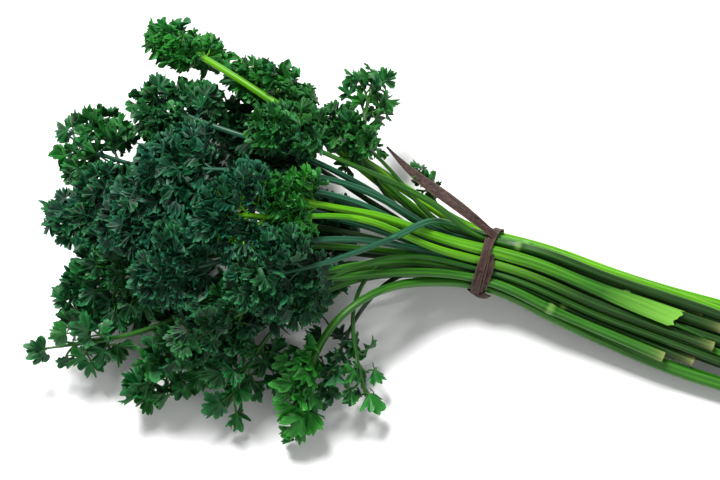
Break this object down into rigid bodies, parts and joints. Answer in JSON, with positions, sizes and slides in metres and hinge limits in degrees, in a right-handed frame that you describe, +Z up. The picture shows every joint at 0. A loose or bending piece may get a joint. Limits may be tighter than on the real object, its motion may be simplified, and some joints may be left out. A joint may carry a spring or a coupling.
{
  "type": "bunch of parsley",
  "caption": "Fresh curly parsley tied in a bunch with a strip of dried leaf, lying on its side: a kitchen herb for cooking and dressing a table.",
  "frame": {"origin": "on the table, under the middle of the bunch's box", "axes": "+X along the bunch to the cut stems, +Y across it, +Z up from the table"},
  "size_m": [0.3048, 0.1612, 0.0909],
  "materials": {
    "stalk": "satin",
    "pale_stalk": "satin",
    "leaf": "matte",
    "tie_strip": "matte"
  },
  "bodies": {
    "root": {"leaf_01": "leaf", "leaf_02": "leaf", "leaf_03": "leaf", "leaf_04": "leaf", "leaf_05": "leaf", "leaf_06": "leaf", "leaf_07": "leaf", "leaf_08": "leaf", "leaf_09": "leaf", "leaf_10": "leaf", "leaf_11": "leaf", "leaf_12": "leaf", "leaf_13": "leaf", "leaf_14": "leaf", "leaf_15": "leaf", "leaf_16": "leaf", "leaf_17": "leaf", "leaf_18": "leaf", "leaf_19": "leaf", "leaf_20": "leaf", "leaf_21": "leaf", "leaf_22": "leaf", "leaf_23": "leaf", "leaf_24": "leaf", "leaf_25": "leaf", "leaf_26": "leaf", "leaf_27": "leaf", "leaf_28": "leaf", "leaf_29": "leaf", "stalk_01": "pale_stalk", "stalk_02": "pale_stalk", "stalk_03": "stalk", "stalk_04": "stalk", "stalk_05": "stalk", "stalk_06": "stalk", "stalk_07": "stalk", "stalk_08": "stalk", "stalk_09": "stalk", "stalk_10": "stalk", "stalk_11": "stalk", "stalk_12": "stalk", "stalk_13": "stalk", "stalk_14": "pale_stalk", "stalk_15": "stalk", "stalk_16": "stalk", "stalk_17": "stalk", "stalk_18": "stalk", "stalk_19": "stalk", "stalk_20": "stalk", "stalk_21": "stalk", "stalk_22": "pale_stalk", "stalk_23": "stalk", "stalk_24": "stalk", "stalk_25": "stalk", "stalk_26": "stalk", "stalk_27": "stalk", "stalk_28": "pale_stalk", "stalk_29": "stalk", "tie_strip": "tie_strip"}
  },
  "joints": []
}
